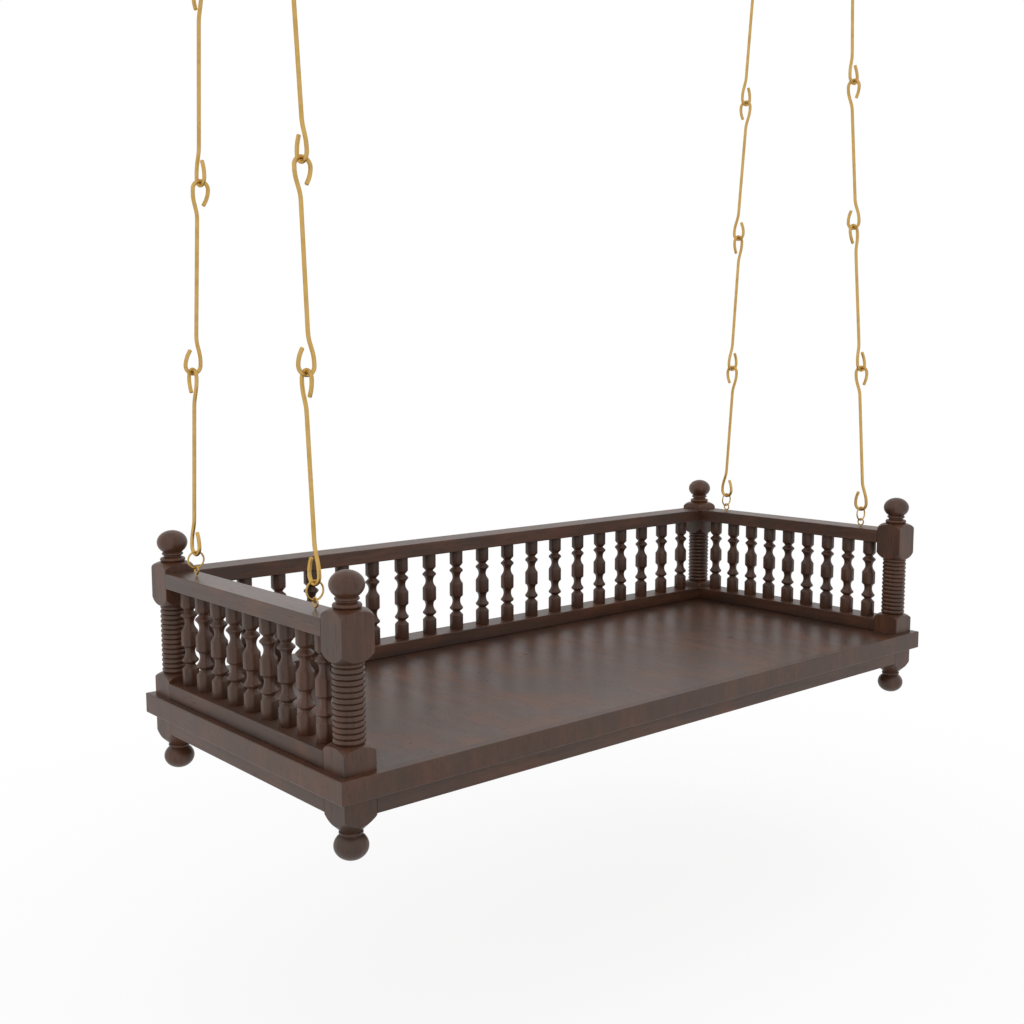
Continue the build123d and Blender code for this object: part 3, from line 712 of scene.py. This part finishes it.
# ------------------------------------------------------------------------------ hook rods
@dataclass
class HookRods:
    """The bent brass rods of the four chains, with softened tips. Lengths are in millimetres."""

    finish: bpy.types.Material
    chain_x: float = 647.4
    spread: float = 175.0
    foot: float = 341.5
    drifts: tuple[Point, ...] = ((0.0, 9.2), (12.7, 20.1), (-1.5, 11.1), (1.3, 14.7))
    pitch: float = 282.0
    wire: float = 3.0
    hook: float = 12.4
    first_hook: float = 21.9
    slack: float = 0.3
    loop_gap: float = 0.01  # straight left between the two bends of a loop, on each side
    bend_step: float = 5.0  # degrees between two points of a bend
    sides: int = 20
    tip: float = 0.9
    tip_steps: tuple[float, ...] = (0.0, 0.12, 0.3, 0.6, 1.0)  # its rings, from the end inwards
    crease: float = 50.0  # edges sharper than this many degrees stay crisp
    tree: GeometryTree = field(init=False)

    def __post_init__(self) -> None:
        """Builds the tree that draws wire along its centreline."""
        self.tree = GeometryTree("bent_wire")
        for name, kind in (("Wire Radius", "Float"), ("Sides", "Int"), ("Finish", "Material")):
            self.tree.take(name, kind)
        path = self.tree.add("GeometryNodeMeshToCurve", mesh=self.tree.given("Geometry"))
        round_ = self.tree.add(
            "GeometryNodeCurvePrimitiveCircle", resolution=self.tree.given("Sides"),
            radius=self.tree.given("Wire Radius"),
        )
        share = self.tree.add("GeometryNodeInputNamedAttribute", {"data_type": "FLOAT"}, name="wire_share")
        wire = self.tree.add(
            "GeometryNodeCurveToMesh", curve=path, profile_curve=round_, scale=share, fill_caps=True
        )
        self.tree.close(self.tree.add("GeometryNodeSetShadeSmooth", geometry=wire))

    def span(self) -> float:
        """From the centreline of one hook's bend to the other's, in millimetres."""
        return self.pitch + 2 * self.wire + self.slack

    def centreline(self) -> list[Point]:
        """A rod's centreline in its own plane, from its lowest point.

        Returns:
            Points as (sideways, up), in millimetres.
        """
        hook = self.hook
        loop = hook - self.loop_gap
        lower = [(-5.5, 35.8), (-hook, 22.0), (-hook, 0.0), (hook, 0.0), (hook, 24.0), (3.6, 50.0)]
        bends = [40.0, loop, loop, 60.0, 55.0]
        upper = [(-u, self.span() - v) for u, v in reversed(lower)]
        return rounded(lower + upper, bends + list(reversed(bends)), math.radians(self.bend_step))

    def chain(self, side: int, end: int) -> bpy.types.Mesh:
        """The centrelines of one chain's rods.

        Args:
            side: -1 on the left, 1 on the right.
            end: -1 at the front, 1 at the back.

        Returns:
            A mesh of edges, in metres, with each point's share of the wire's radius.
        """
        ups = []
        for inward, towards in self.drifts:
            rise = math.sqrt(self.pitch**2 - inward**2 - towards**2)
            ups.append(Vector((-side * inward, -end * towards, rise)).normalized())
        foot = Vector((side * self.chain_x, end * self.spread, self.foot)) + ups[0] * self.first_hook
        points, edges, shares = [], [], []
        for place, up in enumerate(ups):
            hint = Vector((0.0, end, 0.0)) if place % 2 == 0 else Vector((-side, 0.0, 0.0))
            away = (hint - up * hint.dot(up)).normalized()
            line = [foot + away * u + up * v for u, v in self.centreline()]
            foot = foot + up * self.pitch
            line, thickness = self.soften(line)
            edges += [(len(points) + k, len(points) + k + 1) for k in range(len(line) - 1)]
            points += [p * MM for p in line]
            shares += thickness
        mesh = bpy.data.meshes.new("rod_paths")
        mesh.from_pydata(points, edges, [])
        layer = mesh.attributes.new("wire_share", "FLOAT", "POINT")
        layer.data.foreach_set("value", shares)
        return mesh

    def soften(self, line: list[Vector]) -> tuple[list[Vector], list[float]]:
        """Rounds a rod's two tips over.

        Args:
            line: The centreline, in millimetres.

        Returns:
            The centreline with more points at its tips, and each point's share of the wire's radius.
        """
        steps = self.tip_steps
        first = (line[1] - line[0]).normalized()
        last = (line[-2] - line[-1]).normalized()
        head = [line[0] + first * (self.tip * s) for s in steps]
        tail = [line[-1] + last * (self.tip * s) for s in reversed(steps)]
        drop = self.tip / self.wire
        shares = [1 - drop + drop * math.sqrt(1 - (1 - s) ** 2) for s in steps]
        middle = line[1:-1]
        return head + middle + tail, shares + [1.0] * len(middle) + list(reversed(shares))

    def build(self) -> list[bpy.types.Object]:
        """Makes the rods of the four chains, each in place of its nodes.

        Returns:
            One piece for each chain.
        """
        made = []
        for end_name, end in (("front", -1), ("back", 1)):
            for side_name, side in (("left", -1), ("right", 1)):
                corner = f"{end_name}_{side_name}"
                rods = self.tree.run(
                    f"hook_rods_{corner}", self.chain(side, end), wire_radius=self.wire * MM,
                    sides=self.sides, finish=self.finish,
                )
                smooth(rods.data, self.crease)
                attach(rods, f"chain_{corner}")
                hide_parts(*[f"rod_{corner}_{k + 1}" for k in range(len(self.drifts))])
                made.append(rods)
        return made


def rounded(corners: Sequence[Point], bends: Sequence[float], step: float) -> list[Point]:
    """A broken line with each of its inner corners bent to a radius.

    Args:
        corners: The line's corners.
        bends: The radius at each corner between the two ends.
        step: The turn between two points of a bend, in radians.

    Returns:
        Points along the bent line.
    """
    points = [corners[0]]
    for before, here, after, radius in zip(corners, corners[1:], corners[2:], bends):
        spot, back, on = Vector(here), Vector(before) - Vector(here), Vector(after) - Vector(here)
        back.normalize()
        on.normalize()
        opening = back.angle(on)
        reach = radius / math.tan(opening / 2)
        centre = spot + (back + on).normalized() * (radius / math.sin(opening / 2))
        start, end = spot + back * reach - centre, spot + on * reach - centre
        turn = math.pi - opening
        sign = 1 if start.x * end.y - start.y * end.x > 0 else -1
        count = max(2, math.ceil(turn / step))
        for k in range(count + 1):
            swing = sign * turn * k / count
            x = start.x * math.cos(swing) - start.y * math.sin(swing)
            y = start.x * math.sin(swing) + start.y * math.cos(swing)
            points.append((centre.x + x, centre.y + y))
    points.append(corners[-1])
    return points


# ------------------------------------------------------------------------------ the frame's own nodes
def board_grains() -> dict[str, Grain]:
    """Which way the grain runs on each board.

    Returns:
        The grain of each stained node.
    """
    grains = {
        "deck_panel": Grain.ACROSS,
        "deck_battens": Grain.ACROSS,
        "corner_braces": Grain.ACROSS,
        "rail_dowels": Grain.ALONG,
    }
    for side in ("front", "back", "left", "right"):
        grains[f"rim_{side}"] = Grain.UPRIGHT
        grains[f"apron_{side}"] = Grain.ALONG if side in ("front", "back") else Grain.ACROSS
    for side in ("back", "left", "right"):
        for height in ("bottom", "top"):
            grains[f"{height}_rail_{side}"] = grains[f"apron_{side}"]
    for end in ("front", "back"):
        for side in ("left", "right"):
            grains[f"post_{end}_{side}"] = Grain.UPRIGHT
            grains[f"leg_{end}_{side}"] = Grain.UPRIGHT
    return grains


@dataclass
class Dressing:
    """Gives each node of the frame its finish."""

    boards: dict[str, Grain] = field(default_factory=board_grains)
    stride: Triple = (0.37, 0.53, 0.29)  # from one board's stretch of grain to the next one's, in metres
    fasteners: tuple[str, ...] = ("post_bolts", "batten_screws")
    hanging_gear: tuple[str, ...] = ("ring", "rod_", "eye_screws", "ceiling_hooks")

    @staticmethod
    def own_look(node: str) -> dict[str, Any]:
        """How one board differs from the plain stain.

        Args:
            node: The board's node.

        Returns:
            The stain's values that differ, by name.
        """
        if node.startswith("rim"):
            return {"quiet": 1.3, "drawn": 0.3, "warmth": 0.3}
        return {
            "deck_panel": {
                "marks": 0.8, "satin": 0.35, "drawn": 0.22, "blotch": 17.0, "warmth": 0.5,
                # painted shade on the deck beside the back and side rails
                "coolness": 0.5, "painted_shade": 0.45, "shade_bands": DECK_EDGE_SHADE,
            },
            "top_rail_left": {"satin": 0.35},
            "top_rail_back": {"satin": 0.44},
            # painted shade darkens the foot of each bottom rail, where it meets the rim
            "bottom_rail_left": {"satin": 0.48, "painted_shade": 0.6, "shade_bands": (RAIL_FOOT_SHADE,)},
            "bottom_rail_right": {"painted_shade": 0.6, "shade_bands": (RAIL_FOOT_SHADE,)},
            "bottom_rail_back": {"painted_shade": 0.6, "shade_bands": (RAIL_FOOT_SHADE,)},
        }.get(node, {})

    def stain(self, node: str, place: int) -> bpy.types.Material:
        """The stain of one board, with its own stretch of grain.

        Args:
            node: The board's node.
            place: Its place in the sorted list, which moves the grain.

        Returns:
            Its material.
        """
        along, across, up = self.stride
        shift = (along * place, across * place, up * place)
        return WalnutStain("stain_" + node, self.boards[node], shift, **self.own_look(node)).material()

    def build(self, brass: bpy.types.Material, zinc: bpy.types.Material) -> None:
        """Puts a finish on every node but the spindles, which have pieces of their own.

        Args:
            brass: The finish of the hanging gear.
            zinc: The finish of the fasteners.
        """
        for place, node in enumerate(sorted(self.boards)):
            self.cover(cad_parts[node], self.stain(node, place))
        for node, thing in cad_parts.items():
            if node in self.fasteners:
                self.cover(thing, zinc)
            elif any(part in node for part in self.hanging_gear):
                self.cover(thing, brass)

    @staticmethod
    def cover(thing: bpy.types.Object, finish: bpy.types.Material) -> None:
        """Puts one finish in every material slot of an object."""
        if not thing.material_slots:
            thing.data.materials.append(finish)
        for slot in thing.material_slots:
            slot.material = finish


# ------------------------------------------------------------------------------ studio
@dataclass(frozen=True)
class SoftBox:
    """One square studio light."""

    name: str
    place: Triple
    aim: Triple
    side: float
    watts: float

    def build(self) -> None:
        """Hangs the light and points it."""
        lamp = bpy.data.lights.new(self.name, "AREA")
        lamp.shape = "SQUARE"
        lamp.size = self.side
        lamp.energy = self.watts
        thing = placed(self.name, lamp)
        thing.visible_glossy = False
        thing.location = self.place
        toward = Vector(self.aim) - Vector(self.place)
        thing.rotation_euler = toward.to_track_quat("-Z", "Y").to_euler()


@dataclass
class Studio:
    """A plain pale floor, a white surround, soft lamps and the camera."""

    floor_height: float = -0.36
    floor_half: float = 9.0
    floor_grey: float = 0.86
    fade: tuple[float, float] = (0.6, 1.9)  # metres from its middle over which the floor turns white
    faint: float = 0.15  # how much of the floor's own shade shows before that
    surround: float = 0.9
    lens: float = 43.284
    sensor: float = 36.0
    nearest: float = 0.05
    farthest: float = 60.0
    camera_place: Triple = (-1.521784, -1.593805, 0.660217)
    heading: float = 40.874
    dip: float = 6.887
    roll: float = -0.089
    lamps: tuple[SoftBox, ...] = (
        SoftBox("key", (-3.2, -0.8, 2.0), (0.0, 0.0, 0.3), 2.6, 18.0),
        SoftBox("top", (0.4, -0.6, 3.4), (0.0, 0.0, 0.1), 2.8, 14.0),
    )

    def floor(self) -> bpy.types.Object:
        """The floor, white to the eye away from the object's soft shadow.

        Returns:
            The floor's object.
        """
        half, low = self.floor_half, self.floor_height
        mesh = bpy.data.meshes.new("studio_floor")
        corners = [(x * half, y * half, low) for x, y in ((-1, -1), (1, -1), (1, 1), (-1, 1))]
        mesh.from_pydata(corners, [], [(0, 1, 2, 3)])
        thing = placed("studio_floor", mesh)
        paint = bpy.data.materials.new("pale_floor")
        g = Graph(paint)
        here = g.node("ShaderNodeTexCoord", {}, output="Object")
        flat = g.stretch(here, (1.0, 1.0, 0.0))
        reach = g.node("ShaderNodeVectorMath", {"operation": "LENGTH"}, flat, output="Value")
        whiteness = (reach.between(*self.fade) * self.faint + (1 - self.faint)) * self.shown(g)
        matt = g.node("ShaderNodeBsdfDiffuse", {}, (self.floor_grey,) * 3)
        white = g.node("ShaderNodeEmission", {}, WHITE, 1.0)
        g.node("ShaderNodeOutputMaterial", {}, g.node("ShaderNodeMixShader", {}, whiteness, matt, white))
        mesh.materials.append(paint)
        return thing

    @staticmethod
    def shown(g: Graph) -> Signal:
        """1 for the eye and for what metal and glass show, 0 for light on the object."""
        rays = [
            g.node("ShaderNodeLightPath", {}, output=f"Is {kind} Ray")
            for kind in ("Camera", "Glossy", "Transmission")
        ]
        return g.node("ShaderNodeClamp", {}, rays[0] + rays[1] + rays[2])

    def surroundings(self) -> None:
        """A white surround to the eye, to metal and to glass, and an even pale light on the rest."""
        world = bpy.data.worlds.new("surround")
        bpy.context.scene.world = world
        g = Graph(world)
        even = g.node("ShaderNodeBackground", {}, WHITE, self.surround)
        white = g.node("ShaderNodeBackground", {}, WHITE, 1.0)
        g.node("ShaderNodeOutputWorld", {}, g.node("ShaderNodeMixShader", {}, self.shown(g), even, white))

    def camera(self) -> bpy.types.Object:
        """The camera, which looks from the front left, a little above the rails.

        Returns:
            The camera's object.
        """
        data = bpy.data.cameras.new("camera")
        data.lens = self.lens
        data.sensor_width = self.sensor
        data.clip_start = self.nearest
        data.clip_end = self.farthest
        thing = placed("camera", data)
        thing.location = self.camera_place
        turn, tilt = math.radians(self.heading), math.radians(self.dip)
        level = math.cos(tilt)
        toward = Vector((math.sin(turn) * level, math.cos(turn) * level, -math.sin(tilt)))
        rolled = Quaternion((0, 0, 1), math.radians(self.roll))
        thing.rotation_mode = "QUATERNION"
        thing.rotation_quaternion = toward.to_track_quat("-Z", "Y") @ rolled
        bpy.context.scene.camera = thing
        return thing

    def build(self) -> None:
        """Sets the studio up."""
        bpy.context.scene.view_settings.view_transform = "Standard"
        self.floor()
        self.surroundings()
        for lamp in self.lamps:
            lamp.build()
        self.camera()


def log_pieces(pieces: Iterable[bpy.types.Object]) -> None:
    """Logs each piece and its face count."""
    for piece in pieces:
        log.info("%s: %d faces", piece.name, len(piece.data.polygons))


def main() -> None:
    """Builds the finishes, the pieces and the studio in order."""
    logging.basicConfig(level=logging.INFO, format="%(name)s %(message)s")
    brass = Brass("satin_brass").material()
    Dressing().build(brass, Zinc().material())
    turned = WalnutStain(
        "stain_spindles", Grain.UPRIGHT, (0.11, 0.23, 0.31), warmth=0.2, coolness=0.2, quiet=1.1
    )
    log_pieces(SpindleRows(turned.material()).build())
    log_pieces(HookRods(brass).build())
    Studio().build()


if __name__ == "__main__":
    main()
